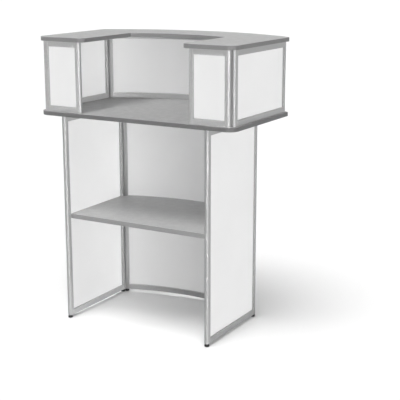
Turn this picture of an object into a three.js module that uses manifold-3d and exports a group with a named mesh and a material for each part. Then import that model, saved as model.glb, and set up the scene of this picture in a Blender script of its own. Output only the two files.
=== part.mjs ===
// Two-level reception counter: framed panels with round-nosed aluminium posts,
// three grey boards and levelling feet. Millimetres, +Z up, +X to the right as seen
// from the staff side, +Y towards the curved customer side. The origin is under the
// middle of the counter's plan rectangle, at floor level.
import * as THREE from "three";
import { mergeVertices } from "three/addons/utils/BufferGeometryUtils.js";
import Module from "manifold-3d";

// ---------- driving dimensions ----------
const BOARD_W = 924; // worktop and counter top, overall width
const BOARD_STRAIGHT = 482; // length of the straight sides, from the front edge
const BOARD_SAG = 133; // rise of the curved rear edge
const BOARD_T = 17; // board thickness
const FRONT_R = 42; // front corner radius
const REAR_R = 10; // rear corner radius
const EDGE_T = 2; // edge band thickness
const FIT = 0.3; // clearance between neighbouring pieces
const WORKTOP_TOP = 900;
const COUNTER_TOP = 1208;
const ARM_INNER_X = 231; // half width of the counter top's opening
const ARM_R = 30; // inner front corner radius of the arms
const OPEN_APEX_Y = 400; // deepest point of the opening's curved rear edge
const OPEN_ARC_R = 592; // its radius
const OPEN_R = 12; // radius of the opening's rear corners

const POST_W = 22; // post and rail width, seen on the panel's face
const POST_T = 20; // post and rail thickness
const NOSE_R = POST_T / 2; // half-round nose
const BORE_R = 4.6; // post bore for the foot stem
const GROOVE_W = 5.6;
const GROOVE_D = 6;
const INFILL_T = 5;
const INFILL_IN = 5.4; // how far the infill enters the groove
const NOSE_STEP = 21.6; // distance between the nose centres at a corner
const STRIP_OUT = 4.6; // hinge strip, from the throat towards the outside
const STRIP_IN = 1.2; // and towards the inside

const LOW_X = 351; // outer half width of the lower section
const LOW_Y0 = 2; // front nose tips of the lower side panels
const LOW_Y1 = 428; // rear nose tips of the lower side panels
const LOW_SAG = 63; // rise of the lower curved panel, between its nose centres
const FOOT_GAP = 12; // posts' lower ends above the floor

const UP_INSET = 9; // board overhang over the upper side panels
const UP_FRONT = 11; // board overhang over the returns
const UP_REAR = 4; // board overhang over the upper curved panel
const RETURN_END = 197; // inner nose tip of a return, from the side panel's outer face

const SHELF_TOP = 462;
const SHELF_T = 20;
const SHELF_Y0 = 33; // front edge of the shelf
const SHELF_GAP = 0.7; // shelf edge to infill
const BAR_LEG = 15; // angle bars under the shelf
const BAR_T = 2;
const BAR_Y0 = 120;
const BAR_Y1 = 400;

const FOOT_R = 10;
const STEM_R = 4;
const STEM_TOP = 46;

// ---------- derived ----------
const HALF_W = BOARD_W / 2;
const REAR_ARC_R = (HALF_W ** 2 + BOARD_SAG ** 2) / (2 * BOARD_SAG);
const REAR_ARC_Y = BOARD_STRAIGHT + BOARD_SAG - REAR_ARC_R; // centre of the rear arc
const DEPTH = BOARD_STRAIGHT + BOARD_SAG;
const OPEN_ARC_Y = OPEN_APEX_Y - OPEN_ARC_R;
const LOW_TOP = WORKTOP_TOP - BOARD_T - FIT;
const UP_BOTTOM = WORKTOP_TOP + FIT;
const UP_TOP = COUNTER_TOP - BOARD_T - FIT;

// ---------- materials ----------
const mat = (color, roughness, metalness) =>
  new THREE.MeshStandardMaterial({ color, roughness, metalness });
const ALUMINIUM = mat(0xb6b7b8, 0.4, 0.9);
const WHITE = mat(0xf1f1ef, 0.45, 0);
const BOARD = mat(0xb9babb, 0.55, 0);
const EDGE = mat(0x767778, 0.5, 0);
const STRIP = mat(0x3c3d3e, 0.6, 0);
const BLACK = mat(0x161616, 0.55, 0);

// ---------- solids ----------
const wasm = await Module();
wasm.setup();

function toSolid(geometry) {
  const g = geometry.clone();
  g.deleteAttribute("normal");
  g.deleteAttribute("uv");
  const m = mergeVertices(g, 1e-4);
  return new wasm.Manifold(
    new wasm.Mesh({
      numProp: 3,
      vertProperties: new Float32Array(m.attributes.position.array),
      triVerts: new Uint32Array(m.index.array),
    }),
  );
}

function toGeometry(solid) {
  const m = solid.getMesh();
  const g = new THREE.BufferGeometry();
  const n = m.vertProperties.length / m.numProp;
  const p = new Float32Array(n * 3);
  for (let i = 0; i < n; i++)
    for (let k = 0; k < 3; k++) p[3 * i + k] = m.vertProperties[m.numProp * i + k];
  g.setAttribute("position", new THREE.BufferAttribute(p, 3));
  g.setIndex(new THREE.BufferAttribute(new Uint32Array(m.triVerts), 1));
  const flat = g.toNonIndexed();
  flat.computeVertexNormals();
  return flat;
}

// A prism on a plan outline (an array of [x, y]) from z0 to z1, with any holes.
function prism(points, z0, z1, holes = []) {
  const shape = new THREE.Shape(points.map(([x, y]) => new THREE.Vector2(x, y)));
  for (const h of holes)
    shape.holes.push(new THREE.Path(h.map(([x, y]) => new THREE.Vector2(x, y))));
  const g = new THREE.ExtrudeGeometry(shape, {
    depth: z1 - z0,
    bevelEnabled: false,
    steps: 1,
  });
  g.translate(0, 0, z0);
  return g;
}

// A section in (y, z) carried along x from x0 to x1.
function bar(points, x0, x1, holes = []) {
  const g = prism(points, x0, x1, holes);
  g.applyMatrix4(
    new THREE.Matrix4().set(0, 0, 1, 0, 1, 0, 0, 0, 0, 1, 0, 0, 0, 0, 0, 1),
  );
  return g;
}

const arcPoints = (cx, cy, r, a0, a1, n) =>
  Array.from({ length: n + 1 }, (_, i) => {
    const a = a0 + ((a1 - a0) * i) / n;
    return [cx + r * Math.cos(a), cy + r * Math.sin(a)];
  });

const HALF_PI = Math.PI / 2;

// ---------- board outlines, drawn inset from the finished edge ----------
function rearCorner(inset) {
  const r = REAR_R;
  const x = HALF_W - r;
  const y = REAR_ARC_Y + Math.sqrt((REAR_ARC_R - r) ** 2 - x ** 2);
  return { x, y, r: r - inset, a: Math.atan2(y - REAR_ARC_Y, x) };
}

function rearEdge(inset) {
  // from the right side, round the curved rear edge, to the left side
  const c = rearCorner(inset);
  return [
    ...arcPoints(c.x, c.y, c.r, 0, c.a, 3),
    ...arcPoints(0, REAR_ARC_Y, REAR_ARC_R - inset, c.a, Math.PI - c.a, 30).slice(1, -1),
    ...arcPoints(-c.x, c.y, c.r, Math.PI - c.a, Math.PI, 3),
  ];
}

function worktopOutline(inset) {
  return [
    ...arcPoints(HALF_W - FRONT_R, FRONT_R, FRONT_R - inset, -HALF_PI, 0, 8),
    ...rearEdge(inset),
    ...arcPoints(-HALF_W + FRONT_R, FRONT_R, FRONT_R - inset, Math.PI, 1.5 * Math.PI, 8),
  ];
}

function counterTopOutline(inset) {
  const x = ARM_INNER_X - OPEN_R;
  const y = OPEN_ARC_Y + Math.sqrt((OPEN_ARC_R - OPEN_R) ** 2 - x ** 2);
  const a = Math.atan2(y - OPEN_ARC_Y, x);
  return [
    ...arcPoints(ARM_INNER_X + ARM_R, ARM_R, ARM_R - inset, Math.PI, 1.5 * Math.PI, 7),
    ...worktopOutline(inset),
    ...arcPoints(-ARM_INNER_X - ARM_R, ARM_R, ARM_R - inset, -HALF_PI, 0, 7),
    ...arcPoints(-x, y, OPEN_R + inset, Math.PI, Math.PI - a, 4),
    ...arcPoints(0, OPEN_ARC_Y, OPEN_ARC_R + inset, Math.PI - a, a, 18).slice(1, -1),
    ...arcPoints(x, y, OPEN_R + inset, a, 0, 4),
  ];
}

// ---------- frame sections ----------
// Post section: nose at x = 0, infill groove at x = POST_W, centred on y = 0.
function postSection() {
  const h = POST_T / 2;
  const g = GROOVE_W / 2;
  const floor = POST_W - GROOVE_D;
  return [
    [POST_W, -h],
    [POST_W, -g],
    [floor, -g],
    [floor, g],
    [POST_W, g],
    [POST_W, h],
    ...arcPoints(NOSE_R, 0, NOSE_R, HALF_PI, 1.5 * Math.PI, 12),
  ];
}
const BORE = arcPoints(NOSE_R, 0, BORE_R, 0, 2 * Math.PI, 14).slice(0, -1);

// Rail section in (y, z): groove on the top (up = 1) or underside (up = -1).
function railSection(z, up) {
  const h = POST_T / 2;
  const g = GROOVE_W / 2;
  const pts = [
    [-h, 0],
    [h, 0],
    [h, POST_W],
    [g, POST_W],
    [g, POST_W - GROOVE_D],
    [-g, POST_W - GROOVE_D],
    [-g, POST_W],
    [-h, POST_W],
  ];
  return up > 0
    ? pts.map(([y, v]) => [y, z + v])
    : pts.map(([y, v]) => [-y, z - v]);
}
const railChamber = (z, up) => {
  const pts = [
    [-6.5, 3],
    [6.5, 3],
    [6.5, 12.5],
    [-6.5, 12.5],
  ];
  return up > 0
    ? pts.map(([y, v]) => [y, z + v])
    : pts.map(([y, v]) => [-y, z - v]);
};

// ---------- assembly ----------
const counter = new THREE.Group();
const plan = new THREE.Group(); // drawn with the boards' front edge on y = 0
plan.position.y = -DEPTH / 2;
counter.add(plan);

function add(parent, name, geometry, material) {
  const m = new THREE.Mesh(geometry, material);
  m.name = name;
  parent.add(m);
  return m;
}

function post(parent, name, tip, angle, z0, z1) {
  const g = new THREE.Group();
  g.position.set(tip[0], tip[1], 0);
  g.rotation.z = angle;
  parent.add(g);
  add(g, name, prism(postSection(), z0, z1, [BORE]), ALUMINIUM);
}

// A flat panel: its first nose tip, direction, length and height span.
function flatPanel(names, tip, angle, length, z0, z1) {
  const far = [tip[0] + length * Math.cos(angle), tip[1] + length * Math.sin(angle)];
  post(plan, names.postA, tip, angle, z0, z1);
  post(plan, names.postB, far, angle + Math.PI, z0, z1);
  const g = new THREE.Group();
  g.position.set(tip[0], tip[1], 0);
  g.rotation.z = angle;
  plan.add(g);
  const a = POST_W + FIT;
  const b = length - POST_W - FIT;
  add(g, names.bottom, bar(railSection(z0, 1), a, b, [railChamber(z0, 1)]), ALUMINIUM);
  add(g, names.top, bar(railSection(z1, -1), a, b, [railChamber(z1, -1)]), ALUMINIUM);
  const t = INFILL_T / 2;
  const e = POST_W - INFILL_IN;
  add(
    g,
    names.infill,
    prism(
      [
        [e, -t],
        [length - e, -t],
        [length - e, t],
        [e, t],
      ],
      z0 + e,
      z1 - e,
    ),
    WHITE,
  );
}

// A curved panel on an arc about (0, cy): radius of the middle of the frame and the
// angle, from +Y, of its nose centres.
function sector(cy, r0, r1, phi, n) {
  const a = HALF_PI - phi;
  const b = HALF_PI + phi;
  return [...arcPoints(0, cy, r1, a, b, n), ...arcPoints(0, cy, r0, b, a, n)];
}

function curvedPanel(names, cy, r, phi, z0, z1, n) {
  const c = [r * Math.sin(phi), cy + r * Math.cos(phi)]; // right nose centre
  const d = [-Math.cos(phi), Math.sin(phi)]; // from it into the panel
  post(plan, names.postA, [-c[0] + NOSE_R * d[0], c[1] - NOSE_R * d[1]], phi, z0, z1);
  post(plan, names.postB, [c[0] - NOSE_R * d[0], c[1] - NOSE_R * d[1]], Math.PI - phi, z0, z1);
  const at = (x) => phi - Math.atan((x - NOSE_R) / r); // angle at a distance from the nose tip
  const h = POST_T / 2;
  const rail = (z, up) => {
    const span = (v0, v1) => (up > 0 ? [z + v0, z + v1] : [z - v1, z - v0]);
    const body = toSolid(prism(sector(cy, r - h, r + h, at(POST_W + FIT), n), ...span(0, POST_W)));
    const groove = toSolid(
      prism(
        sector(cy, r - GROOVE_W / 2, r + GROOVE_W / 2, phi, n),
        ...span(POST_W - GROOVE_D, POST_W + 5),
      ),
    );
    const chamber = toSolid(prism(sector(cy, r - 6.5, r + 6.5, phi, n), ...span(3, 12.5)));
    return toGeometry(body.subtract(groove).subtract(chamber));
  };
  add(plan, names.bottom, rail(z0, 1), ALUMINIUM);
  add(plan, names.top, rail(z1, -1), ALUMINIUM);
  const e = POST_W - INFILL_IN;
  const t = INFILL_T / 2;
  add(plan, names.infill, prism(sector(cy, r - t, r + t, at(e), n), z0 + e, z1 - e), WHITE);
}

// A hinge strip in the throat between two noses, centres p and q: it reaches further
// towards the outside of the counter, so that a return can also swing inwards. inside is
// the sign of the inside, to the left of the way from p to q.
function hingeStrip(name, p, q, inside, z0, z1) {
  const half = NOSE_STEP / 2;
  const r = NOSE_R + FIT;
  const ys = [-STRIP_OUT, -STRIP_OUT * 0.7, -STRIP_OUT * 0.35, 0, STRIP_IN];
  if (inside < 0) ys.reverse().forEach((y, i) => (ys[i] = -y));
  const right = ys.map((y) => [half - Math.sqrt(r * r - y * y), y]);
  const left = ys.map((y) => [-half + Math.sqrt(r * r - y * y), y]).reverse();
  const g = new THREE.Group();
  g.position.set((p[0] + q[0]) / 2, (p[1] + q[1]) / 2, 0);
  g.rotation.z = Math.atan2(q[1] - p[1], q[0] - p[0]);
  plan.add(g);
  add(g, name, prism([...right, ...left], z0, z1), STRIP);
}

// ---------- lower section ----------
const lowAxisX = LOW_X - POST_T / 2; // middle of the side panels
const lowRear = LOW_Y1 - NOSE_R; // their rear nose centres
// The curved panel's nose centre is placed so that both noses sit symmetrically about
// the corner's bisector.
function rearJoint(axisX, rearY, phi) {
  const b = [Math.cos(phi), Math.sin(phi) - 1];
  const l = Math.hypot(...b);
  return [axisX - (NOSE_STEP * -b[1]) / l, rearY + (NOSE_STEP * b[0]) / l];
}
let lowPhi = 0.38;
let lowNose = [0, 0];
let lowR = 0;
for (let i = 0; i < 40; i++) {
  lowNose = rearJoint(lowAxisX, lowRear, lowPhi);
  lowR = (lowNose[0] ** 2 + LOW_SAG ** 2) / (2 * LOW_SAG);
  lowPhi = Math.asin(lowNose[0] / lowR);
}
const lowCy = lowNose[1] - lowR * Math.cos(lowPhi);
const lowLength = LOW_Y1 - LOW_Y0;

for (const [side, s] of [
  ["left", -1],
  ["right", 1],
]) {
  flatPanel(
    {
      postA: `lower_${side}_front_post`,
      postB: `lower_${side}_rear_post`,
      bottom: `lower_${side}_bottom_rail`,
      top: `lower_${side}_top_rail`,
      infill: `lower_${side}_infill`,
    },
    [s * lowAxisX, LOW_Y0],
    HALF_PI,
    lowLength,
    FOOT_GAP,
    LOW_TOP,
  );
  hingeStrip(
    `hinge_strip_lower_${side}`,
    [s * lowAxisX, lowRear],
    [s * lowNose[0], lowNose[1]],
    s,
    FOOT_GAP,
    LOW_TOP,
  );
}
curvedPanel(
  {
    postA: "lower_curved_left_post",
    postB: "lower_curved_right_post",
    bottom: "lower_curved_bottom_rail",
    top: "lower_curved_top_rail",
    infill: "lower_curved_infill",
  },
  lowCy,
  lowR,
  lowPhi,
  FOOT_GAP,
  LOW_TOP,
  20,
);

// Levelling feet: a pad with a collar and a threaded stem that runs up the post's bore.
function foot(name, x, y) {
  const profile = [
    [0, 0],
    [FOOT_R - 1.5, 0],
    [FOOT_R, 1.5],
    [FOOT_R, 7.6],
    [FOOT_R - 1.8, 9.2],
    [6.5, 9.2],
    [6.5, FOOT_GAP - FIT],
    [STEM_R, FOOT_GAP - FIT],
    [STEM_R, STEM_TOP - 1],
    [STEM_R - 1, STEM_TOP],
    [0, STEM_TOP],
  ].map(([r, z]) => new THREE.Vector2(r, z));
  const g = new THREE.LatheGeometry(profile, 20);
  g.rotateX(HALF_PI);
  const m = add(plan, name, g, BLACK);
  m.position.set(x, y, 0);
}
for (const [side, s] of [
  ["left", -1],
  ["right", 1],
]) {
  foot(`foot_front_${side}`, s * lowAxisX, LOW_Y0 + NOSE_R);
  foot(`foot_rear_${side}`, s * lowAxisX, lowRear);
  foot(`foot_curved_${side}`, s * lowNose[0], lowNose[1]);
}

// ---------- shelf ----------
{
  const x = lowAxisX - INFILL_T / 2 - SHELF_GAP;
  const xPost = LOW_X - POST_T - SHELF_GAP;
  const yPost = LOW_Y1 - POST_W - 1.2;
  const phi = lowPhi - (POST_W - NOSE_R + SHELF_GAP + 0.6) / lowR;
  const at = (r, p) => [r * Math.sin(p), lowCy + r * Math.cos(p)];
  const rIn = lowR - POST_T / 2 - SHELF_GAP;
  const rOut = lowR - INFILL_T / 2 - SHELF_GAP;
  const right = [
    [x, SHELF_Y0 + EDGE_T + FIT],
    [x, yPost],
    [xPost, yPost],
    [xPost, yPost + 8],
    at(rIn, phi),
  ];
  const outline = [
    ...right,
    ...arcPoints(0, lowCy, rOut, HALF_PI - phi, HALF_PI + phi, 20),
    ...right.map(([a, b]) => [-a, b]).reverse(),
  ];
  add(plan, "shelf", prism(outline, SHELF_TOP - SHELF_T, SHELF_TOP), BOARD);
  add(
    plan,
    "shelf_edge_band",
    prism(
      [
        [-x, SHELF_Y0],
        [x, SHELF_Y0],
        [x, SHELF_Y0 + EDGE_T],
        [-x, SHELF_Y0 + EDGE_T],
      ],
      SHELF_TOP - SHELF_T,
      SHELF_TOP,
    ),
    EDGE,
  );
  const z = SHELF_TOP - SHELF_T - FIT;
  const xb = lowAxisX - INFILL_T / 2 - FIT;
  for (const [side, s] of [
    ["left", -1],
    ["right", 1],
  ]) {
    const section = [
      [xb, z - BAR_LEG],
      [xb, z],
      [xb - BAR_LEG, z],
      [xb - BAR_LEG, z - BAR_T],
      [xb - BAR_T, z - BAR_T],
      [xb - BAR_T, z - BAR_LEG],
    ].map(([u, v]) => [s * u, v]);
    if (s < 0) section.reverse();
    const g = prism(section, BAR_Y0, BAR_Y1);
    // section (x, z) carried along +Y
    g.applyMatrix4(
      new THREE.Matrix4().set(1, 0, 0, 0, 0, 0, -1, BAR_Y0 + BAR_Y1, 0, 1, 0, 0, 0, 0, 0, 1),
    );
    add(plan, `shelf_support_${side}`, g, ALUMINIUM);
  }
}

// ---------- worktop and counter top ----------
for (const [name, top, outline] of [
  ["worktop", WORKTOP_TOP, worktopOutline],
  ["counter_top", COUNTER_TOP, counterTopOutline],
]) {
  add(plan, name, prism(outline(EDGE_T + FIT), top - BOARD_T, top), BOARD);
  add(
    plan,
    `${name}_edge_band`,
    prism(outline(0), top - BOARD_T, top, [outline(EDGE_T).slice().reverse()]),
    EDGE,
  );
}

// ---------- upper section ----------
const upAxisX = HALF_W - UP_INSET - POST_T / 2;
const returnY = UP_FRONT + POST_T / 2;
const diag = NOSE_STEP / Math.SQRT2;
const upR = REAR_ARC_R - UP_REAR - POST_T / 2;
// the rear corner: nose centres NOSE_STEP apart, symmetrical about the bisector
let upPhi = 0.53;
let upNose = [0, 0];
let upRear = 0;
for (let i = 0; i < 60; i++) {
  const b = [Math.cos(upPhi), Math.sin(upPhi) - 1];
  const l = Math.hypot(...b);
  upNose[0] = upAxisX - (NOSE_STEP * -b[1]) / l;
  upNose[1] = REAR_ARC_Y + Math.sqrt(upR ** 2 - upNose[0] ** 2);
  upRear = upNose[1] - (NOSE_STEP * b[0]) / l;
  upPhi = Math.asin(upNose[0] / upR);
}
const upFront = returnY + diag; // front nose centres of the side panels
const returnLength = RETURN_END - POST_T / 2 - diag + NOSE_R;

for (const [side, s] of [
  ["left", -1],
  ["right", 1],
]) {
  flatPanel(
    {
      postA: `upper_${side}_front_post`,
      postB: `upper_${side}_rear_post`,
      bottom: `upper_${side}_bottom_rail`,
      top: `upper_${side}_top_rail`,
      infill: `upper_${side}_infill`,
    },
    [s * upAxisX, upFront - NOSE_R],
    HALF_PI,
    upRear - upFront + 2 * NOSE_R,
    UP_BOTTOM,
    UP_TOP,
  );
  flatPanel(
    {
      postA: `return_${side}_outer_post`,
      postB: `return_${side}_inner_post`,
      bottom: `return_${side}_bottom_rail`,
      top: `return_${side}_top_rail`,
      infill: `return_${side}_infill`,
    },
    [s * (upAxisX - diag + NOSE_R), returnY],
    s < 0 ? 0 : Math.PI,
    returnLength,
    UP_BOTTOM,
    UP_TOP,
  );
  hingeStrip(
    `hinge_strip_front_${side}`,
    [s * upAxisX, upFront],
    [s * (upAxisX - diag), returnY],
    -s,
    UP_BOTTOM,
    UP_TOP,
  );
  hingeStrip(
    `hinge_strip_rear_${side}`,
    [s * upAxisX, upRear],
    [s * upNose[0], upNose[1]],
    s,
    UP_BOTTOM,
    UP_TOP,
  );
}
curvedPanel(
  {
    postA: "upper_curved_left_post",
    postB: "upper_curved_right_post",
    bottom: "upper_curved_bottom_rail",
    top: "upper_curved_top_rail",
    infill: "upper_curved_infill",
  },
  REAR_ARC_Y,
  upR,
  upPhi,
  UP_BOTTOM,
  UP_TOP,
  26,
);

export default counter;
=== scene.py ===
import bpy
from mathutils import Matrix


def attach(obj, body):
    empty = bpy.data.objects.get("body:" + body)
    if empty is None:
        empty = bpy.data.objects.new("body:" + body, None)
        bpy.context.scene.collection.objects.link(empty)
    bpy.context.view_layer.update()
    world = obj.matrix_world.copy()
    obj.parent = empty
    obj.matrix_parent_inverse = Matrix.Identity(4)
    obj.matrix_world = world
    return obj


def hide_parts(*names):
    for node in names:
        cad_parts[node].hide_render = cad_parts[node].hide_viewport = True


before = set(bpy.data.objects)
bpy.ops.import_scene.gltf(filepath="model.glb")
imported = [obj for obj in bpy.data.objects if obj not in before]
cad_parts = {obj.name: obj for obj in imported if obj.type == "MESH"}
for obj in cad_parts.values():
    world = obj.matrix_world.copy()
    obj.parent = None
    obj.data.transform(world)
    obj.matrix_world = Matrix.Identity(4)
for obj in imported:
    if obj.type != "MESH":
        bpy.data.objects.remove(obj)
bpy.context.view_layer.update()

import math

import bmesh
import bpy
from mathutils import Vector
from mathutils.geometry import tessellate_polygon

# ---------------------------------------------------------------- sizes, mm
# Plan sizes are drawn with the boards' front edge on y = 0 and moved back to the
# row frame when a mesh is made.
MM = 0.001
BOARD_W, BOARD_STRAIGHT, BOARD_SAG, BOARD_T = 924.0, 482.0, 133.0, 17.0
FRONT_R, REAR_R, EDGE_T = 42.0, 10.0, 2.0
WORKTOP_TOP, COUNTER_TOP = 900.0, 1208.0
ARM_INNER_X, ARM_R, OPEN_APEX_Y, OPEN_ARC_R, OPEN_R = 231.0, 30.0, 400.0, 592.0, 12.0
POST_W, POST_T, NOSE_R, BORE_R = 22.0, 20.0, 10.0, 4.6
GROOVE_W, GROOVE_D, INFILL_T, INFILL_IN = 5.6, 6.0, 5.0, 5.4
NOSE_STEP, STRIP_OUT, STRIP_IN, FIT = 21.6, 4.6, 1.2, 0.3
LOW_X, LOW_Y0, LOW_Y1, LOW_SAG, FOOT_GAP = 351.0, 2.0, 428.0, 63.0, 12.0
UP_INSET, UP_FRONT, UP_REAR, RETURN_END = 9.0, 11.0, 4.0, 197.0
SHELF_TOP, SHELF_T, SHELF_Y0, SHELF_GAP = 462.0, 20.0, 33.0, 0.7
BAR_LEG, BAR_T, BAR_Y0, BAR_Y1 = 15.0, 2.0, 120.0, 400.0
FOOT_R, STEM_R, STEM_TOP = 10.0, 4.0, 46.0

HALF_W = BOARD_W / 2
REAR_ARC_R = (HALF_W**2 + BOARD_SAG**2) / (2 * BOARD_SAG)
DEPTH = BOARD_STRAIGHT + BOARD_SAG
REAR_ARC_Y = DEPTH - REAR_ARC_R
OPEN_ARC_Y = OPEN_APEX_Y - OPEN_ARC_R
LOW_TOP = WORKTOP_TOP - BOARD_T - FIT
UP_BOTTOM = WORKTOP_TOP + FIT
UP_TOP = COUNTER_TOP - BOARD_T - FIT
PI = math.pi
H_PI = math.pi / 2
Z = Vector((0, 0, 1))


# ---------------------------------------------------------------- materials
class Nodes:
    """A short way to build one node material."""

    def __init__(self, name):
        self.mat = bpy.data.materials.new(name)
        self.mat.use_nodes = True
        self.nt = self.mat.node_tree
        self.nt.nodes.clear()
        self.out = self.nt.nodes.new("ShaderNodeOutputMaterial")
        self.bsdf = self.nt.nodes.new("ShaderNodeBsdfPrincipled")
        self.nt.links.new(self.bsdf.outputs[0], self.out.inputs[0])

    def link(self, a, b):
        self.nt.links.new(a, b)

    def const(self, **values):
        for k, v in values.items():
            self.bsdf.inputs[k.replace("_", " ")].default_value = v
        return self

    def attr(self, name, vector=False):
        n = self.nt.nodes.new("ShaderNodeAttribute")
        n.attribute_type = "GEOMETRY"
        n.attribute_name = name
        return n.outputs["Vector" if vector else "Fac"]

    def object_coords(self):
        return self.nt.nodes.new("ShaderNodeTexCoord").outputs["Object"]

    def scaled(self, vec, scale):
        n = self.nt.nodes.new("ShaderNodeMapping")
        n.inputs["Scale"].default_value = scale
        self.link(vec, n.inputs["Vector"])
        return n.outputs[0]

    def noise(self, vec, scale, detail=2.0, rough=0.5, distortion=0.0):
        n = self.nt.nodes.new("ShaderNodeTexNoise")
        n.inputs["Scale"].default_value = scale
        n.inputs["Detail"].default_value = detail
        n.inputs["Roughness"].default_value = rough
        n.inputs["Distortion"].default_value = distortion
        self.link(vec, n.inputs["Vector"])
        return n.outputs["Fac"]

    def voronoi(self, vec, scale, feature="F1"):
        n = self.nt.nodes.new("ShaderNodeTexVoronoi")
        n.feature = feature
        n.inputs["Scale"].default_value = scale
        self.link(vec, n.inputs["Vector"])
        return n.outputs["Distance"]

    def remap(self, fac, a0, a1, b0, b1, smooth=False):
        n = self.nt.nodes.new("ShaderNodeMapRange")
        n.clamp = True
        if smooth:
            n.interpolation_type = "SMOOTHSTEP"
        for i, v in zip((1, 2, 3, 4), (a0, a1, b0, b1)):
            n.inputs[i].default_value = v
        self.link(fac, n.inputs[0])
        return n.outputs[0]

    def math(self, op, a, b=None):
        n = self.nt.nodes.new("ShaderNodeMath")
        n.operation = op
        for i, v in enumerate((a, b)):
            if v is None:
                continue
            if isinstance(v, (int, float)):
                n.inputs[i].default_value = v
            else:
                self.link(v, n.inputs[i])
        return n.outputs[0]

    def mix(self, fac, a, b):
        n = self.nt.nodes.new("ShaderNodeMix")
        n.data_type = "RGBA"
        for sock, v in ((n.inputs[0], fac), (n.inputs[6], a), (n.inputs[7], b)):
            if isinstance(v, (int, float)):
                sock.default_value = v
            elif isinstance(v, tuple):
                sock.default_value = v if len(v) == 4 else (*v, 1.0)
            else:
                self.link(v, sock)
        return n.outputs[2]

    def bump(self, height, strength, distance, normal=None):
        n = self.nt.nodes.new("ShaderNodeBump")
        n.inputs["Strength"].default_value = strength
        n.inputs["Distance"].default_value = distance
        self.link(height, n.inputs["Height"])
        if normal is not None:
            self.link(normal, n.inputs["Normal"])
        return n.outputs[0]

    def done(self, color=None, rough=None, normal=None):
        if color is not None:
            self.link(color, self.bsdf.inputs["Base Color"])
        if rough is not None:
            self.link(rough, self.bsdf.inputs["Roughness"])
        if normal is not None:
            self.link(normal, self.bsdf.inputs["Normal"])
        return self.mat


def grey(v):
    return (v, v, v, 1.0)


def aluminium():
    """Satin anodised extrusion: fine die lines along its length, worn bright edges."""
    m = Nodes("satin_anodised_aluminium")
    m.const(Metallic=0.65)
    sweep, obj = m.attr("sweep", True), m.object_coords()
    lines = m.noise(m.scaled(sweep, (9, 1500, 0)), 1.0, 4.0, 0.6)
    wide = m.noise(m.scaled(sweep, (3, 160, 0)), 1.0, 2.0, 0.5)
    cloud = m.noise(obj, 5.0, 3.0, 0.55)
    tone = m.math("ADD", m.math("MULTIPLY", lines, 0.45), m.math("MULTIPLY", wide, 0.3))
    tone = m.math("ADD", tone, m.math("MULTIPLY", cloud, 0.25))
    base = m.mix(m.remap(tone, 0.3, 0.7, 0, 1), grey(0.36), grey(0.406))
    chip = m.remap(m.noise(obj, 90.0, 3.0, 0.6), 0.42, 0.62, 0.15, 1.0)
    base = m.mix(m.math("MULTIPLY", m.attr("edge"), chip), base, grey(0.58))
    rough = m.remap(tone, 0.3, 0.7, 0.30, 0.40)
    return m.done(base, rough, m.bump(lines, 0.22, 0.00006))


def white_sheet():
    """Smooth white sheet: faint orange peel and a slightly uneven sheen."""
    m = Nodes("white_sheet")
    obj = m.object_coords()
    cloud = m.noise(obj, 3.2, 3.0, 0.55)
    peel = m.noise(obj, 420.0, 2.0, 0.5)
    base = m.mix(m.remap(cloud, 0.35, 0.65, 0, 1), grey(0.894), grey(0.918))
    rough = m.remap(m.noise(obj, 24.0, 4.0, 0.6), 0.3, 0.7, 0.36, 0.5)
    m.const(Specular_IOR_Level=0.35)
    return m.done(base, rough, m.bump(peel, 0.10, 0.00012))


def laminate():
    """Grey melamine: fine two-tone speckle, soft pearl mottling, light wear on its arris."""
    m = Nodes("grey_laminate")
    obj = m.object_coords()
    speck = m.noise(obj, 900.0, 3.0, 0.65)
    fleck = m.voronoi(obj, 620.0)
    cloud = m.noise(obj, 7.0, 4.0, 0.55)
    base = m.mix(m.remap(speck, 0.36, 0.64, 0, 1), grey(0.268), grey(0.319))
    base = m.mix(m.remap(fleck, 0.10, 0.2, 0.5, 0.0), base, grey(0.37))
    base = m.mix(m.remap(cloud, 0.3, 0.7, 0.0, 0.22), base, grey(0.312))
    scuff = m.remap(m.noise(m.scaled(obj, (30, 9, 30)), 1.0, 4.0, 0.7), 0.6, 0.78, 0.0, 0.25)
    base = m.mix(scuff, base, grey(0.29))
    base = m.mix(m.math("MULTIPLY", m.attr("edge"), 0.5), base, grey(0.38))
    rough = m.remap(m.noise(obj, 38.0, 4.0, 0.6), 0.3, 0.7, 0.40, 0.56)
    return m.done(base, rough, m.bump(speck, 0.16, 0.00010))


def edge_band(name, dark, light):
    """Plastic edge band: fine lines along the edge and paler rubbed arrises."""
    m = Nodes(name)
    sweep, obj = m.attr("sweep", True), m.object_coords()
    lines = m.noise(m.scaled(sweep, (6, 1300, 0)), 1.0, 3.0, 0.6)
    cloud = m.noise(obj, 18.0, 3.0, 0.6)
    base = m.mix(m.remap(lines, 0.3, 0.7, 0, 1), grey(dark), grey(light))
    base = m.mix(m.remap(cloud, 0.4, 0.75, 0.0, 0.3), base, grey(light * 1.08))
    chip = m.remap(m.noise(obj, 120.0, 3.0, 0.6), 0.4, 0.65, 0.1, 0.8)
    base = m.mix(m.math("MULTIPLY", m.attr("edge"), chip), base, grey(light * 1.5))
    rough = m.remap(cloud, 0.3, 0.7, 0.38, 0.52)
    return m.done(base, rough, m.bump(lines, 0.2, 0.00008))


def rubber(name, dark, light, rough0=0.55):
    m = Nodes(name)
    obj = m.object_coords()
    fine = m.noise(obj, 700.0, 2.0, 0.6)
    cloud = m.noise(obj, 30.0, 3.0, 0.6)
    base = m.mix(m.remap(cloud, 0.3, 0.7, 0, 1), grey(dark), grey(light))
    rough = m.remap(fine, 0.3, 0.7, rough0, rough0 + 0.14)
    return m.done(base, rough, m.bump(fine, 0.25, 0.00008))


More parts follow.
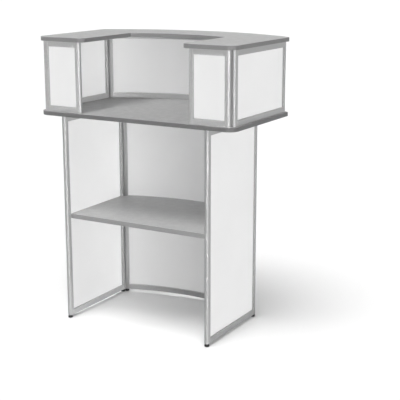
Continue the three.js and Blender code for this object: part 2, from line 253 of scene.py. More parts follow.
def black_plastic():
    """Moulded black plastic: spark-eroded grain and grey scuffed edges."""
    m = Nodes("black_moulded_plastic")
    obj = m.object_coords()
    grain = m.noise(obj, 1500.0, 2.0, 0.6)
    dust = m.remap(m.noise(obj, 140.0, 4.0, 0.65), 0.5, 0.75, 0.0, 0.5)
    base = m.mix(dust, grey(0.010), grey(0.03))
    chip = m.remap(m.noise(obj, 260.0, 3.0, 0.6), 0.4, 0.6, 0.0, 0.7)
    base = m.mix(m.math("MULTIPLY", m.attr("edge"), chip), base, grey(0.08))
    rough = m.remap(grain, 0.3, 0.7, 0.42, 0.6)
    return m.done(base, rough, m.bump(grain, 0.3, 0.0001))


def zinc():
    """Bright zinc on a rolled thread."""
    m = Nodes("zinc_plated_steel")
    m.const(Metallic=1.0)
    obj = m.object_coords()
    cloud = m.noise(obj, 300.0, 3.0, 0.6)
    base = m.mix(m.remap(cloud, 0.3, 0.7, 0, 1), grey(0.46), grey(0.62))
    rough = m.remap(cloud, 0.3, 0.7, 0.26, 0.42)
    return m.done(base, rough, m.bump(cloud, 0.1, 0.00005))


ALU = aluminium()
WHITE = white_sheet()
BOARD = laminate()
DARK_EDGE = edge_band("dark_edge_band", 0.135, 0.18)
GREY_EDGE = edge_band("grey_edge_band", 0.335, 0.40)
STRIP = rubber("grey_hinge_rubber", 0.24, 0.29)
BEAD = rubber("pale_glazing_bead", 0.62, 0.7, 0.45)
BLACK = black_plastic()
ZINC = zinc()


# ---------------------------------------------------------------- mesh code
MADE = []  # (object, body, slot) of every piece, in the order made


def arc(cx, cy, r, a0, a1, n):
    return [
        (cx + r * math.cos(a0 + (a1 - a0) * i / n), cy + r * math.sin(a0 + (a1 - a0) * i / n))
        for i in range(n + 1)
    ]


def fillet(points, n=3):
    """Corners given as (x, y, r) become arcs; r = 0 keeps a point. Returns the points and,
    for each, whether the side that starts there is part of a rounded corner."""
    out, soft = [], []
    k = len(points)
    for i, (x, y, r) in enumerate(points):
        if r <= 0:
            out.append((x, y))
            soft.append(False)
            continue
        p, a, b = Vector((x, y)), Vector(points[i - 1][:2]), Vector(points[(i + 1) % k][:2])
        u, v = (a - p).normalized(), (b - p).normalized()
        half = math.acos(max(-1, min(1, u.dot(v)))) / 2
        t = r / math.tan(half)
        c = p + (u + v).normalized() * (r / math.sin(half))
        s, e = p + u * t - c, p + v * t - c
        turn = math.atan2(s.x * e.y - s.y * e.x, s.dot(e))
        a0 = math.atan2(s.y, s.x)
        for j in range(n + 1):
            w = a0 + turn * j / n
            out.append((c.x + r * math.cos(w), c.y + r * math.sin(w)))
            soft.append(j < n)
    return out, soft


def inset(points, d):
    """Each point moved inwards by d along its corner's bisector (anticlockwise outline)."""
    out = []
    k = len(points)
    for i, p in enumerate(points):
        a, b, c = Vector(points[i - 1]), Vector(p), Vector(points[(i + 1) % k])
        e, f = (b - a), (c - b)
        if e.length < 1e-9 or f.length < 1e-9:
            out.append(tuple(b))
            continue
        n1, n2 = Vector((-e.y, e.x)).normalized(), Vector((-f.y, f.x)).normalized()
        m = n1 + n2
        if m.length < 1e-6:
            out.append(tuple(b))
            continue
        m.normalize()
        out.append(tuple(b + m * (d / max(0.4, m.dot(n1)))))
    return out


class Piece:
    """Collects one piece's vertices and faces in millimetres (plan frame)."""

    def __init__(self):
        self.v, self.f, self.s = [], [], []  # points, (indices, material, edge, smooth), sweep

    def point(self, p, sweep=(0.0, 0.0)):
        self.v.append(Vector(p))
        self.s.append(sweep)
        return len(self.v) - 1

    def face(self, idx, mat=0, edge=0.0, smooth=True):
        self.f.append((tuple(idx), mat, edge, smooth))

    def sweep(self, outline, soft, frames, holes=(), chamfer=0.35, mat=0, closed=False):
        """Carries an anticlockwise outline along frames, each (origin, u, v, along), with the
        path's direction u x v. Open paths get chamfered ends."""
        loops = [(list(outline), list(soft))] + [(list(h), [False] * len(h)) for h in holes]
        rings = []
        if closed:
            rings = [(f, 0.0, 0.0) for f in frames]
        else:
            rings = [(frames[0], chamfer, 0.0), (frames[0], 0.0, chamfer)]
            rings += [(f, 0.0, 0.0) for f in frames[1:-1]]
            rings += [(frames[-1], 0.0, -chamfer), (frames[-1], chamfer, 0.0)]
        made = []
        for loop, flags in loops:
            shrunk = inset(loop, chamfer)
            around, total = [0.0], 0.0
            for i in range(1, len(loop)):
                total += (Vector(loop[i]) - Vector(loop[i - 1])).length
                around.append(total)
            ids = []
            for (o, u, v, along), cut, push in rings:
                w = u.cross(v)
                pts = shrunk if cut else loop
                ids.append(
                    [
                        self.point(o + w * push + u * a + v * b, ((along + push) * MM, around[i] * MM))
                        for i, (a, b) in enumerate(pts)
                    ]
                )
            made.append(ids)
            n = len(loop)
            span = range(len(ids) if closed else len(ids) - 1)
            for k in span:
                nxt = (k + 1) % len(ids)
                end = not closed and k in (0, len(ids) - 2)
                for i in range(n):
                    j = (i + 1) % n
                    self.face(
                        (ids[k][i], ids[k][j], ids[nxt][j], ids[nxt][i]),
                        mat,
                        1.0 if (end or flags[i]) else 0.0,
                    )
        if not closed:
            polys = [[Vector((*p, 0)) for p in inset(l, chamfer)] for l, _ in loops]
            tris = tessellate_polygon(polys)
            flat = [p for poly in polys for p in poly]
            first = [i for ids in made for i in ids[0]]
            last = [i for ids in made for i in ids[-1]]
            for t in tris:
                a, b, c = (flat[i] for i in t)
                ccw = (b - a).cross(c - a).z > 0
                t = t if ccw else (t[0], t[2], t[1])
                self.face([last[i] for i in t], mat)
                self.face([first[i] for i in reversed(t)], mat)

    def slab(self, levels, mats, caps=(True, True), soft=()):
        """A stack of equal-length outlines [(points, z)], lowest first, closed by flat caps."""
        ids = []
        around = []
        total = 0.0
        pts0 = levels[0][0]
        for i, p in enumerate(pts0):
            if i:
                total += (Vector(p) - Vector(pts0[i - 1])).length
            around.append(total)
        for k, (pts, z) in enumerate(levels):
            ids.append([self.point((x, y, z), (around[i] * MM, z * MM)) for i, (x, y) in enumerate(pts)])
        n = len(pts0)
        for k in range(len(ids) - 1):
            for i in range(n):
                j = (i + 1) % n
                self.face(
                    (ids[k][i], ids[k][j], ids[k + 1][j], ids[k + 1][i]),
                    mats[k],
                    1.0 if k in soft else 0.0,
                )
        if caps[0]:
            self.face(list(reversed(ids[0])), mats[0])
        if caps[1]:
            self.face(ids[-1], mats[-1])

    def lathe(self, profile, cx, cy, n=36, mats=None, soft=(), phase=0.0):
        """A profile [(radius, z)] from the axis at the bottom to the axis at the top."""
        ids = []
        for k, (r, z) in enumerate(profile):
            if r < 1e-9:
                ids.append([self.point((cx, cy, z))] * n)
                continue
            ids.append(
                [
                    self.point(
                        (cx + r * math.cos(phase + 2 * PI * i / n), cy + r * math.sin(phase + 2 * PI * i / n), z),
                        (i * 0.001, z * MM),
                    )
                    for i in range(n)
                ]
            )
        for k in range(len(ids) - 1):
            m = mats[k] if mats else 0
            for i in range(n):
                j = (i + 1) % n
                quad = [ids[k][i], ids[k][j], ids[k + 1][j], ids[k + 1][i]]
                face = []
                for q in quad:
                    if q not in face:
                        face.append(q)
                if len(face) > 2:
                    self.face(face, m, 1.0 if k in soft else 0.0)

    def make(self, name, mats, body, nodes=(), slot=None, smooth_angle=None):
        mesh = bpy.data.meshes.new(name)
        shift = Vector((0, -DEPTH / 2, 0))
        mesh.from_pydata([tuple((p + shift) * MM) for p in self.v], [], [f[0] for f in self.f])
        for m in mats:
            mesh.materials.append(m)
        mesh.polygons.foreach_set("material_index", [f[1] for f in self.f])
        mesh.polygons.foreach_set("use_smooth", [f[3] for f in self.f])
        edge = mesh.attributes.new("edge", "FLOAT", "FACE")
        edge.data.foreach_set("value", [f[2] for f in self.f])
        sw = mesh.attributes.new("sweep", "FLOAT_VECTOR", "POINT")
        flat = []
        for a, b in self.s:
            flat += [a, b, 0.0]
        sw.data.foreach_set("vector", flat)
        mesh.validate(clean_customdata=False)
        mesh.update()
        ob = bpy.data.objects.new(name, mesh)
        bpy.context.scene.collection.objects.link(ob)
        wn = ob.modifiers.new("weighted_normals", "WEIGHTED_NORMAL")
        wn.mode = "FACE_AREA"
        wn.weight = 60
        wn.keep_sharp = True
        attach(ob, body)
        if nodes:
            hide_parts(*nodes)
        MADE.append((ob, body, slot))
        return ob


# ---------------------------------------------------------------- outlines
def rear_edge(i, n=96):
    r = REAR_R
    x = HALF_W - r
    y = REAR_ARC_Y + math.sqrt((REAR_ARC_R - r) ** 2 - x * x)
    a = math.atan2(y - REAR_ARC_Y, x)
    return (
        arc(x, y, r - i, 0, a, 6)
        + arc(0, REAR_ARC_Y, REAR_ARC_R - i, a, PI - a, n)[1:-1]
        + arc(-x, y, r - i, PI - a, PI, 6)
    )


def worktop_outline(i):
    return (
        arc(HALF_W - FRONT_R, FRONT_R, FRONT_R - i, -H_PI, 0, 20)
        + rear_edge(i)
        + arc(-HALF_W + FRONT_R, FRONT_R, FRONT_R - i, PI, 1.5 * PI, 20)
    )


def counter_outline(i):
    x = ARM_INNER_X - OPEN_R
    y = OPEN_ARC_Y + math.sqrt((OPEN_ARC_R - OPEN_R) ** 2 - x * x)
    a = math.atan2(y - OPEN_ARC_Y, x)
    return (
        arc(ARM_INNER_X + ARM_R, ARM_R, ARM_R - i, PI, 1.5 * PI, 16)
        + worktop_outline(i)
        + arc(-ARM_INNER_X - ARM_R, ARM_R, ARM_R - i, -H_PI, 0, 16)
        + arc(-x, y, OPEN_R + i, PI, PI - a, 8)
        + arc(0, OPEN_ARC_Y, OPEN_ARC_R + i, PI - a, a, 56)[1:-1]
        + arc(x, y, OPEN_R + i, a, 0, 8)
    )


# ---------------------------------------------------------------- frame sections
def post_section():
    h, g, fl = POST_T / 2, GROOVE_W / 2, POST_W - GROOVE_D
    corners = [
        (POST_W, -h, 0.7),
        (POST_W, -g, 0.5),
        (fl, -g, 0),
        (fl, g, 0),
        (POST_W, g, 0.5),
        (POST_W, h, 0.7),
    ]
    nose = [(x, y, 0) for x, y in arc(NOSE_R, 0, NOSE_R, H_PI, 1.5 * PI, 28)]
    return fillet(corners + nose)


def rail_section(up):
    """In (u, v): v from the outer edge of the frame (0) towards the infill."""
    h, g = POST_T / 2, GROOVE_W / 2
    pts = [
        (-h, 0, 0.7),
        (h, 0, 0.7),
        (h, POST_W, 0.7),
        (g, POST_W, 0.5),
        (g, POST_W - GROOVE_D, 0),
        (-g, POST_W - GROOVE_D, 0),
        (-g, POST_W, 0.5),
        (-h, POST_W, 0.7),
    ]
    chamber = [(-6.5, 3.0), (6.5, 3.0), (6.5, 12.5), (-6.5, 12.5)]
    if up < 0:
        pts = [(-x, -y, r) for x, y, r in pts]
        chamber = [(-x, -y) for x, y in chamber]
    outline, soft = fillet(pts)
    return outline, soft, list(reversed(chamber))


POST = post_section()
BORE = list(reversed(arc(NOSE_R, 0, BORE_R, 0, 2 * PI, 28)[:-1]))


class FlatPanel:
    def __init__(self, tip, angle, length):
        self.tip, self.length, self.curved = Vector((*tip, 0)), length, False
        self.d = Vector((math.cos(angle), math.sin(angle), 0))
        self.n = Z.cross(self.d)

    def frame(self, s):
        return self.tip + self.d * s, self.n

    def spans(self, a, b):
        return [a, b]

    def posts(self):
        return [(self.tip, self.d), (self.tip + self.d * self.length, -self.d)]


class CurvedPanel:
    def __init__(self, cy, r, phi, count):
        self.cy, self.r, self.phi, self.count, self.curved = cy, r, phi, count, True
        self.length = 2 * r * phi + 2 * NOSE_R

    def frame(self, s):
        a = -self.phi + (s - NOSE_R) / self.r
        n = Vector((math.sin(a), math.cos(a), 0))
        return Vector((0, self.cy, 0)) + n * self.r, n

    def spans(self, a, b):
        return [a + (b - a) * i / self.count for i in range(self.count + 1)]

    def posts(self):
        c = Vector((self.r * math.sin(self.phi), self.cy + self.r * math.cos(self.phi), 0))
        left = Vector((math.cos(self.phi), math.sin(self.phi), 0))
        right = Vector((-math.cos(self.phi), math.sin(self.phi), 0))
        return [
            (Vector((-c.x, c.y, 0)) - left * NOSE_R, left),
            (c - right * NOSE_R, right),
        ]


def build_panel(panel, names, body, z0, z1):
    """Two posts, two rails and the infill with its glazing beads."""
    for (tip, d), name in zip(panel.posts(), names["posts"]):
        p = Piece()
        n = Z.cross(d)
        p.sweep(
            *POST,
            [(tip + Z * z0, d, n, z0), (tip + Z * z1, d, n, z1)],
            holes=[BORE],
            chamfer=0.3,
        )
        p.make(name + "_extrusion", [ALU], body, [name], "frame_aluminium")
    a, b = POST_W + FIT, panel.length - POST_W - FIT
    for name, z, up in ((names["bottom"], z0, 1), (names["top"], z1, -1)):
        outline, soft, chamber = rail_section(up)
        p = Piece()
        frames = []
        for s in panel.spans(a, b):
            o, n = panel.frame(s)
            frames.append((o + Z * z, n, Z, s))
        p.sweep(outline, soft, frames, holes=[chamber], chamfer=0.25)
        p.make(name + "_extrusion", [ALU], body, [name], "frame_aluminium")
    # infill sheet, its edges inside the grooves
    e = POST_W - INFILL_IN
    t = INFILL_T / 2
    outline, soft = fillet(
        [(-t, z0 + e, 0.5), (t, z0 + e, 0.5), (t, z1 - e, 0.5), (-t, z1 - e, 0.5)], 2
    )
    p = Piece()
    frames = []
    for s in panel.spans(e, panel.length - e):
        o, n = panel.frame(s)
        frames.append((o, n, Z, s))
    p.sweep(outline, soft, frames, chamfer=0.4)
    # glazing beads: a soft bead on both faces, round the frame's inner edge
    s0, s1, b0, b1 = POST_W, panel.length - POST_W, z0 + POST_W, z1 - POST_W
    section = [(0.03, -0.05), (1.9, -0.05), (1.75, 0.45), (1.2, 1.05), (0.5, 1.3), (0.03, 1.25)]
    for side in (1, -1):
        rings = []
        for i, h in section:
            ring = []
            run = panel.spans(s0 + i, s1 - i)
            ring += [(s, b0 + i) for s in run]
            ring += [(s, b1 - i) for s in reversed(run)]
            ids = []
            for s, z in ring:
                o, n = panel.frame(s)
                ids.append(p.point(o + n * side * (t + h) + Z * z, (s * MM, z * MM)))
            rings.append(ids)
        k, m = len(rings), len(rings[0])
        for r in range(k):
            for c in range(m):
                q = (rings[r][c], rings[r][(c + 1) % m], rings[(r + 1) % k][(c + 1) % m], rings[(r + 1) % k][c])
                p.face(q if side < 0 else tuple(reversed(q)), 1)
    p.make(names["infill"] + "_sheet", [WHITE, BEAD], body, [names["infill"]], "white_infill")


def hinge_strip(name, body, p, q, inside, z0, z1):
    half, r = NOSE_STEP / 2, NOSE_R + 0.12
    ys = [-STRIP_OUT + (STRIP_OUT + STRIP_IN) * i / 10 for i in range(11)]
    if inside < 0:
        ys = [-y for y in reversed(ys)]
    right = [(half - math.sqrt(r * r - y * y), y) for y in ys]
    left = [(-half + math.sqrt(r * r - y * y), y) for y in reversed(ys)]
    p, q = Vector((*p, 0)), Vector((*q, 0))
    u = (q - p).normalized()
    v = Z.cross(u)
    o = (p + q) / 2
    piece = Piece()
    pts = right + left
    piece.sweep(pts, [False] * len(pts), [(o + Z * z0, u, v, z0), (o + Z * z1, u, v, z1)], chamfer=0.15)
    piece.make(name + "_rubber", [STRIP], body, [name], "hinge_strip")


# ---------------------------------------------------------------- lower section
low_axis, low_rear = LOW_X - POST_T / 2, LOW_Y1 - NOSE_R
low_phi = 0.38
for _ in range(60):
    bx, by = math.cos(low_phi), math.sin(low_phi) - 1
    bl = math.hypot(bx, by)
    low_nose = (low_axis + NOSE_STEP * by / bl, low_rear + NOSE_STEP * bx / bl)
    low_r = (low_nose[0] ** 2 + LOW_SAG**2) / (2 * LOW_SAG)
    low_phi = math.asin(low_nose[0] / low_r)
low_cy = low_nose[1] - low_r * math.cos(low_phi)

for side, s in (("left", -1), ("right", 1)):
    build_panel(
        FlatPanel((s * low_axis, LOW_Y0), H_PI, LOW_Y1 - LOW_Y0),
        {
            "posts": (f"lower_{side}_front_post", f"lower_{side}_rear_post"),
            "bottom": f"lower_{side}_bottom_rail",
            "top": f"lower_{side}_top_rail",
            "infill": f"lower_{side}_infill",
        },
        "base",
        FOOT_GAP,
        LOW_TOP,
    )
    hinge_strip(
        f"hinge_strip_lower_{side}",
        "base",
        (s * low_axis, low_rear),
        (s * low_nose[0], low_nose[1]),
        s,
        FOOT_GAP,
        LOW_TOP,
    )
build_panel(
    CurvedPanel(low_cy, low_r, low_phi, 64),
    {
        "posts": ("lower_curved_left_post", "lower_curved_right_post"),
        "bottom": "lower_curved_bottom_rail",
        "top": "lower_curved_top_rail",
        "infill": "lower_curved_infill",
    },
    "base",
    FOOT_GAP,
    LOW_TOP,
)


def foot(name, x, y):
    """Pad with a rounded rim, a moulded hexagon and a rolled thread."""
    p = Piece()
    pad = [
        (0, 0),
        (7.6, 0),
        (8.6, 0.25),
        (9.4, 0.75),
        (9.85, 1.4),
        (10.0, 2.2),
        (10.0, 6.9),
        (9.85, 7.7),
        (9.4, 8.4),
        (8.7, 8.95),
        (7.9, 9.2),
        (0, 9.2),
    ]
    p.lathe(pad, x, y, 44, soft=(2, 3, 7, 8))
    hexagon = [(0, 9.0), (6.2, 9.0), (6.5, 9.3), (6.5, 11.2), (6.1, 11.65), (0, 11.65)]
    p.lathe(hexagon, x, y, 6, soft=(1, 3))
    thread = [(0, 11.4), (3.55, 11.4)]
    z = 11.7
    while z < STEM_TOP - 1.6:
        thread += [(3.45, z), (4.0, z + 0.5), (4.0, z + 0.7), (3.45, z + 1.2)]
        z += 1.25
    thread += [(3.4, STEM_TOP - 0.6), (2.8, STEM_TOP), (0, STEM_TOP)]
    p.lathe(thread, x, y, 24, mats=[1] * (len(thread) - 1))
    p.make(name + "_leveller", [BLACK, ZINC], name + "_body", [name], "black_foot")


for side, s in (("left", -1), ("right", 1)):
    foot(f"foot_front_{side}", s * low_axis, LOW_Y0 + NOSE_R)
    foot(f"foot_rear_{side}", s * low_axis, low_rear)
    foot(f"foot_curved_{side}", s * low_nose[0], low_nose[1])

# ---------------------------------------------------------------- shelf
sx = low_axis - INFILL_T / 2 - SHELF_GAP
sx_post = LOW_X - POST_T - SHELF_GAP
sy_post = LOW_Y1 - POST_W - 1.2
s_phi = low_phi - (POST_W - NOSE_R + SHELF_GAP + 0.6) / low_r


def shelf_outline(i):
    r_in, r_out = low_r - POST_T / 2 - SHELF_GAP, low_r - INFILL_T / 2 - SHELF_GAP
    y0 = SHELF_Y0 + EDGE_T + 0.05
    step = (r_in * math.sin(s_phi), low_cy + r_in * math.cos(s_phi))
    right = [(sx - i, y0 + i), (sx - i, sy_post - i), (sx_post - i, sy_post - i), (sx_post - i, sy_post + 8 - i), (step[0] - i, step[1] - i)]
    return (
        right
        + arc(0, low_cy, r_out - i, H_PI - s_phi, H_PI + s_phi, 56)
        + [(-x, y) for x, y in reversed(right)]
    )


p = Piece()
zb, zt = SHELF_TOP - SHELF_T, SHELF_TOP
p.slab(
    [(shelf_outline(0.3), zb), (shelf_outline(0), zb + 0.3), (shelf_outline(0), zt - 0.3), (shelf_outline(0.3), zt)],
    [0, 0, 0, 0],
    soft=(0, 2),
)
p.make("shelf_panel", [BOARD], "shelf_board", ["shelf"], "grey_board")

p = Piece()
outline, soft = fillet(
    [
        (SHELF_Y0, zb, 0.8),
        (SHELF_Y0 + EDGE_T, zb, 0),
        (SHELF_Y0 + EDGE_T, zt, 0),
        (SHELF_Y0, zt, 0.8),
    ],
    4,
)
X = Vector((1, 0, 0))
Y = Vector((0, 1, 0))
p.sweep(outline, soft, [(X * -sx, Y, Z, 0), (X * sx, Y, Z, 2 * sx)], chamfer=0.3)
p.make("shelf_front_band", [GREY_EDGE], "shelf_board", ["shelf_edge_band"], "grey_edge")

for side, s in (("left", -1), ("right", 1)):
    z = SHELF_TOP - SHELF_T - FIT
    xb = low_axis - INFILL_T / 2 - FIT
    section = [
        (xb, z - BAR_LEG, 0.5),
        (xb, z, 0.3),
        (xb - BAR_LEG, z, 0.5),
        (xb - BAR_LEG, z - BAR_T, 0.5),
        (xb - BAR_T, z - BAR_T, 1.2),
        (xb - BAR_T, z - BAR_LEG, 0.5),
    ]
    if s < 0:
        section = [(-x, v, r) for x, v, r in reversed(section)]
    outline, soft = fillet(section)
    p = Piece()
    # u = x, v = z, so the path runs along -Y
    p.sweep(outline, soft, [(Y * BAR_Y1, X, Z, 0), (Y * BAR_Y0, X, Z, BAR_Y1 - BAR_Y0)], chamfer=0.3)
    # pan-head screws through the upright leg into the panel
    for y in (BAR_Y0 + 30, (BAR_Y0 + BAR_Y1) / 2, BAR_Y1 - 30):
        base = len(p.v)
        head = [(0, -0.2), (3.4, -0.2), (3.4, 0.5), (3.0, 1.15), (2.1, 1.55), (1.1, 1.7), (1.0, 1.0), (0, 1.0)]
        p.lathe(head, 0, 0, 18, mats=[1] * 7)
        for i in range(base, len(p.v)):
            q = p.v[i]
            p.v[i] = Vector((s * (xb - BAR_T - q.z), y + s * -q.x, z - BAR_LEG / 2 - 1.5 + q.y))
    p.make(f"shelf_support_{side}_angle", [ALU, ZINC], "base", [f"shelf_support_{side}"], "frame_aluminium")

# ---------------------------------------------------------------- boards
for name, body, top, outline in (
    ("worktop", "upper", WORKTOP_TOP, worktop_outline),
    ("counter_top", "counter_top_board", COUNTER_TOP, counter_outline),
):
    zb = top - BOARD_T
    p = Piece()
    i0 = EDGE_T + 0.04
    p.slab(
        [(outline(i0 + 0.2), zb), (outline(i0), zb + 0.2), (outline(i0), top - 0.2), (outline(i0 + 0.2), top)],
        [0, 0, 0, 0],
        soft=(0, 2),
    )
    p.make(name + "_panel", [BOARD], body, [name], "grey_board")
    # edge band: rounded outer arrises, a closed ring round the board
    p = Piece()
    r = 1.2
    section = [(EDGE_T, zb + 0.05), (r, zb)]
    section += [(r - r * math.sin(a), zb + r - r * math.cos(a)) for a in (H_PI * k / 5 for k in range(1, 6))]
    section += [(r - r * math.cos(a), top - r + r * math.sin(a)) for a in (H_PI * k / 5 for k in range(0, 6))]
    section += [(EDGE_T, top - 0.05)]
    rings = []
    run = 0.0
    base_line = outline(0)
    along = [0.0]
    for k in range(1, len(base_line)):
        run += (Vector(base_line[k]) - Vector(base_line[k - 1])).length
        along.append(run)
    for i, z in section:
        rings.append([p.point((x, y, z), (along[k] * MM, (z - i) * MM)) for k, (x, y) in enumerate(outline(i))])
    n, m = len(rings), len(rings[0])
    for a in range(n):
        for c in range(m):
            b, d = (a + 1) % n, (c + 1) % m
            z_a, z_b = section[a][1], section[b][1]
            rub = section[a][0] < r + 0.01 and (max(z_a, z_b) <= zb + r + 0.01 or min(z_a, z_b) >= top - r - 0.01)
            p.face((rings[a][c], rings[a][d], rings[b][d], rings[b][c]), 0, 1.0 if rub else 0.0)
    p.make(name + "_edge", [DARK_EDGE], body, [name + "_edge_band"], "dark_edge")

# ---------------------------------------------------------------- upper section
up_axis = HALF_W - UP_INSET - POST_T / 2
return_y = UP_FRONT + POST_T / 2
diag = NOSE_STEP / math.sqrt(2)
up_r = REAR_ARC_R - UP_REAR - POST_T / 2
up_phi = 0.53
for _ in range(80):
    bx, by = math.cos(up_phi), math.sin(up_phi) - 1
    bl = math.hypot(bx, by)
    nx = up_axis + NOSE_STEP * by / bl
    ny = REAR_ARC_Y + math.sqrt(up_r**2 - nx**2)
    up_rear = ny - NOSE_STEP * bx / bl
    up_phi = math.asin(nx / up_r)
up_nose = (nx, ny)
up_front = return_y + diag
return_length = RETURN_END - POST_T / 2 - diag + NOSE_R

for side, s in (("left", -1), ("right", 1)):
    build_panel(
        FlatPanel((s * up_axis, up_front - NOSE_R), H_PI, up_rear - up_front + 2 * NOSE_R),
        {
            "posts": (f"upper_{side}_front_post", f"upper_{side}_rear_post"),
            "bottom": f"upper_{side}_bottom_rail",
            "top": f"upper_{side}_top_rail",
            "infill": f"upper_{side}_infill",
        },
        "upper",
        UP_BOTTOM,
        UP_TOP,
    )
    build_panel(
        FlatPanel((s * (up_axis - diag + NOSE_R), return_y), 0 if s < 0 else PI, return_length),
        {
            "posts": (f"return_{side}_outer_post", f"return_{side}_inner_post"),
            "bottom": f"return_{side}_bottom_rail",
            "top": f"return_{side}_top_rail",
            "infill": f"return_{side}_infill",
        },
        f"return_{side}",
        UP_BOTTOM,
        UP_TOP,
    )
    hinge_strip(
        f"hinge_strip_front_{side}",
        "upper",
        (s * up_axis, up_front),
        (s * (up_axis - diag), return_y),
        -s,
        UP_BOTTOM,
        UP_TOP,
    )
    hinge_strip(
        f"hinge_strip_rear_{side}",
        "upper",
        (s * up_axis, up_rear),
        (s * up_nose[0], up_nose[1]),
        s,
        UP_BOTTOM,
        UP_TOP,
    )
build_panel(
    CurvedPanel(REAR_ARC_Y, up_r, up_phi, 80),
    {
        "posts": ("upper_curved_left_post", "upper_curved_right_post"),
        "bottom": "upper_curved_bottom_rail",
        "top": "upper_curved_top_rail",
        "infill": "upper_curved_infill",
    },
    "upper",
    UP_BOTTOM,
    UP_TOP,
)

# ---------------------------------------------------------------- floor, light, camera
floor_mesh = bpy.data.meshes.new("floor")
F = 90
floor_mesh.from_pydata([(-F, -F, 0), (F, -F, 0), (F, F, 0), (-F, F, 0)], [], [(0, 1, 2, 3)])
floor = bpy.data.objects.new("floor", floor_mesh)
floor.location.z = -0.0004
bpy.context.scene.collection.objects.link(floor)
fm = Nodes("pale_floor")
fm.const(Roughness=0.5, Specular_IOR_Level=0.0)
grain = fm.noise(fm.object_coords(), 2.0, 3.0, 0.5)
floor_mesh.materials.append(fm.done(fm.mix(grain, (0.925, 0.925, 0.925), (0.94, 0.94, 0.94))))
floor.visible_diffuse = False
floor.visible_shadow = False

scene = bpy.context.scene
world = bpy.data.worlds.new("studio")
scene.world = world
world.use_nodes = True
wt = world.node_tree
bg = wt.nodes["Background"]
bg.inputs[0].default_value = (1.0, 1.0, 1.0, 1.0)
bg.inputs[1].default_value = 0.24
backdrop = wt.nodes.new("ShaderNodeBackground")
backdrop.inputs[0].default_value = (1.0, 1.0, 1.0, 1.0)
seen, pick = wt.nodes.new("ShaderNodeLightPath"), wt.nodes.new("ShaderNodeMixShader")
wt.links.new(seen.outputs["Is Camera Ray"], pick.inputs[0])
wt.links.new(bg.outputs[0], pick.inputs[1])
wt.links.new(backdrop.outputs[0], pick.inputs[2])
wt.links.new(pick.outputs[0], wt.nodes["World Output"].inputs[0])


def group(name, objects):
    c = bpy.data.collections.new(name)
    for o in objects:
        c.objects.link(o)
    return c


def sun(name, towards, strength, angle, shadow=True, gloss=True, lit=None):
    """A soft distant light; towards is the direction from the object to the light, and a
    strength of 1 makes a facing white surface white."""
    light = bpy.data.lights.new(name, "SUN")
    light.energy = PI * strength
    light.angle = math.radians(angle)
    light.use_shadow = shadow
    light.cycles.use_multiple_importance_sampling = shadow
    ob = bpy.data.objects.new(name, light)
    ob.location = Vector(towards).normalized() * 6
    ob.rotation_euler = Vector(towards).to_track_quat("Z", "Y").to_euler()
    ob.visible_glossy = gloss
    scene.collection.objects.link(ob)
    if lit:
        ob.light_linking.receiver_collection = lit
    return ob


BOARD_SLOTS = ("grey_board", "dark_edge", "grey_edge")
tops = [o for o, body, slot in MADE if slot in BOARD_SLOTS]
counter = [o for o in tops if o.name.startswith("counter_top")]
shelf = [o for o in tops if o.name.startswith("shelf")]
faces = [o for o, body, slot in MADE if slot == "grey_board" and o not in shelf]
returns = [o for o, body, slot in MADE if body.startswith("return_")]
fronts = [o for o in returns if "_sheet" not in o.name] + counter
sides = [o for o, body, slot in MADE if slot != "grey_board"]
bent = [o for o in sides if "_curved_left_post" in o.name]
posts = [o for o in sides if o.name.startswith(("lower_left", "upper_left")) and "_sheet" not in o.name]
posts += [o for o in sides if o.name.startswith("hinge_strip") and "left" in o.name]
flat = [o for o in returns if "_rail" in o.name or "left_outer" in o.name or "right_inner" in o.name]
bow = [o for o in sides if o.name.startswith("upper_curved_infill")]
bow_rail = [o for o in sides if o.name.startswith("upper_curved_bottom_rail")]
sheets = [o for o, body, slot in MADE if slot == "white_infill"]
inner = [o for o in sheets if "_left_" in o.name or "_curved_" in o.name]
inner = sorted((o for o in inner if not o.name.startswith("return_")), key=lambda o: o.name != "upper_left_infill_sheet")
outer = [o for o in sheets if o not in inner]
far = [o for o in sides if o.name.startswith(("lower_right_rear", "upper_right_rear", "lower_curved_right", "upper_curved_right"))]
solid = [o for o, body, slot in MADE if o not in sheets + shelf + far] + [floor]
sun("key", (0.0, -1.2, 1.0), 1.38, 24, lit=group("lit_by_key", faces))
sun("key_edges", (-0.02, -0.31, 1.0), 1.06, 20, lit=group("lit_edges", [o for o in tops if o not in shelf + faces]))
sun("key_shelf", (-0.02, -0.45, 1.0), 0.88, 26, lit=group("lit_shelf_key", shelf))
sun("key_floor", (-0.02, -0.31, 1.0), 0.773, 40, lit=group("lit_floor", [floor]))
sun("side_box", (1.0, -1.0, 0.5), 0.3, 60, lit=group("lit_by_box", solid))
sun("fill_inner", (1.0, -0.45, 0.0), 0.222, 60, shadow=False, gloss=False, lit=group("lit_inner", inner[1:]))
sun("fill_pocket", (1.0, -0.45, 0.0), 0.16, 60, shadow=False, gloss=False, lit=group("lit_pocket", inner[:1]))
sun("fill_outer", (1.0, -1.0, 0.0), 0.413, 60, shadow=False, gloss=False, lit=group("lit_outer", outer))
sun("fill_counter", (0.0, 0.0, 1.0), 0.48, 30, shadow=False, lit=group("lit_counter", counter))
sun("fill_shelf", (0.0, 0.0, 1.0), 0.355, 30, shadow=False, lit=group("lit_shelf", shelf))
sun("fill_fronts", (-0.5, -0.87, 0.0), 0.37, 150, shadow=False, lit=group("lit_fronts", fronts))
sun("fill_returns", (-0.5, -0.87, 0.0), 0.265, 150, shadow=False, lit=group("lit_returns", [o for o in returns if "_sheet" in o.name]))
sun("fill_corner", (1.0, -0.9, 0.0), 0.159, 38, shadow=False, lit=group("lit_corner", sides + [floor]))
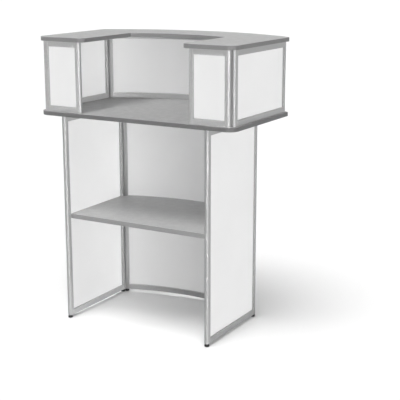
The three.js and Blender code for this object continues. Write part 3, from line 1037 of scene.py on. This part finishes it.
sun("fill_right", (1.0, 0.0, 0.0), 0.247, 60, shadow=False, gloss=False,
    lit=group("lit_right", [o for o in sides if o.name != "worktop_edge"] + [floor]))
sun("fill_posts", (0.52, 0.85, 0.0), 0.135, 60, shadow=False, lit=group("lit_posts", posts))
sun("fill_bow", (-1.0, -0.2, 0.0), 0.04, 60, shadow=False, gloss=False, lit=group("lit_bow", bow))
sun("fill_rear", (-0.8, 0.6, 0.0), 0.46, 60, shadow=False, gloss=False, lit=group("lit_rear", sides))
sun("fill_back", (-0.75, 0.66, 0.0), 0.27, 20, shadow=False, gloss=False, lit=group("lit_back", inner))
card = sun("reflector_card", (0.75, -0.66, 0.0), 0.487, 100, shadow=False,
           lit=group("lit_by_card", [o for o in sides if o not in bent + flat]))
card.visible_diffuse = False
card = sun("rail_card", (-0.65, -0.75, -0.25), 0.10, 40, shadow=False, lit=group("lit_bow_rail", bow_rail))
card.visible_diffuse = False

# Two narrow strip lights stand outside the lower frames and shine along the gap under their bottom rails.
under = group("lit_under", [floor])
for name, at, aim, watts, length in (("low_rear", (-0.25, 0.7, 0.28), (-0.13, 0.175, 0.0), 0.034, 0.37),
                                     ("low_left", (-0.65, -0.06, 0.5), (-0.35, -0.06, 0.0), 0.024, 0.34)):
    light = bpy.data.lights.new(name, "AREA")
    light.shape = "RECTANGLE"
    light.size, light.size_y = length, 0.02
    light.energy = watts
    light.spread = math.radians(5)
    ob = bpy.data.objects.new(name, light)
    ob.location = at
    ob.rotation_euler = (Vector(at) - Vector(aim)).to_track_quat("Z", "Y").to_euler()
    ob.visible_glossy = False
    scene.collection.objects.link(ob)
    ob.light_linking.receiver_collection = under

cam = bpy.data.cameras.new("camera")
cam.sensor_width = 36.0
cam.lens = 91.25
cam_ob = bpy.data.objects.new("camera", cam)
cam_ob.location = (2.2290, -3.6338, 1.5358)
cam_ob.rotation_euler = (H_PI - 0.2375, 0.0, 0.5219)
scene.collection.objects.link(cam_ob)
scene.camera = cam_ob

scene.cycles.use_light_tree = False  # the linked lights are all sampled evenly
scene.view_settings.view_transform = "Standard"
scene.view_settings.look = "None"
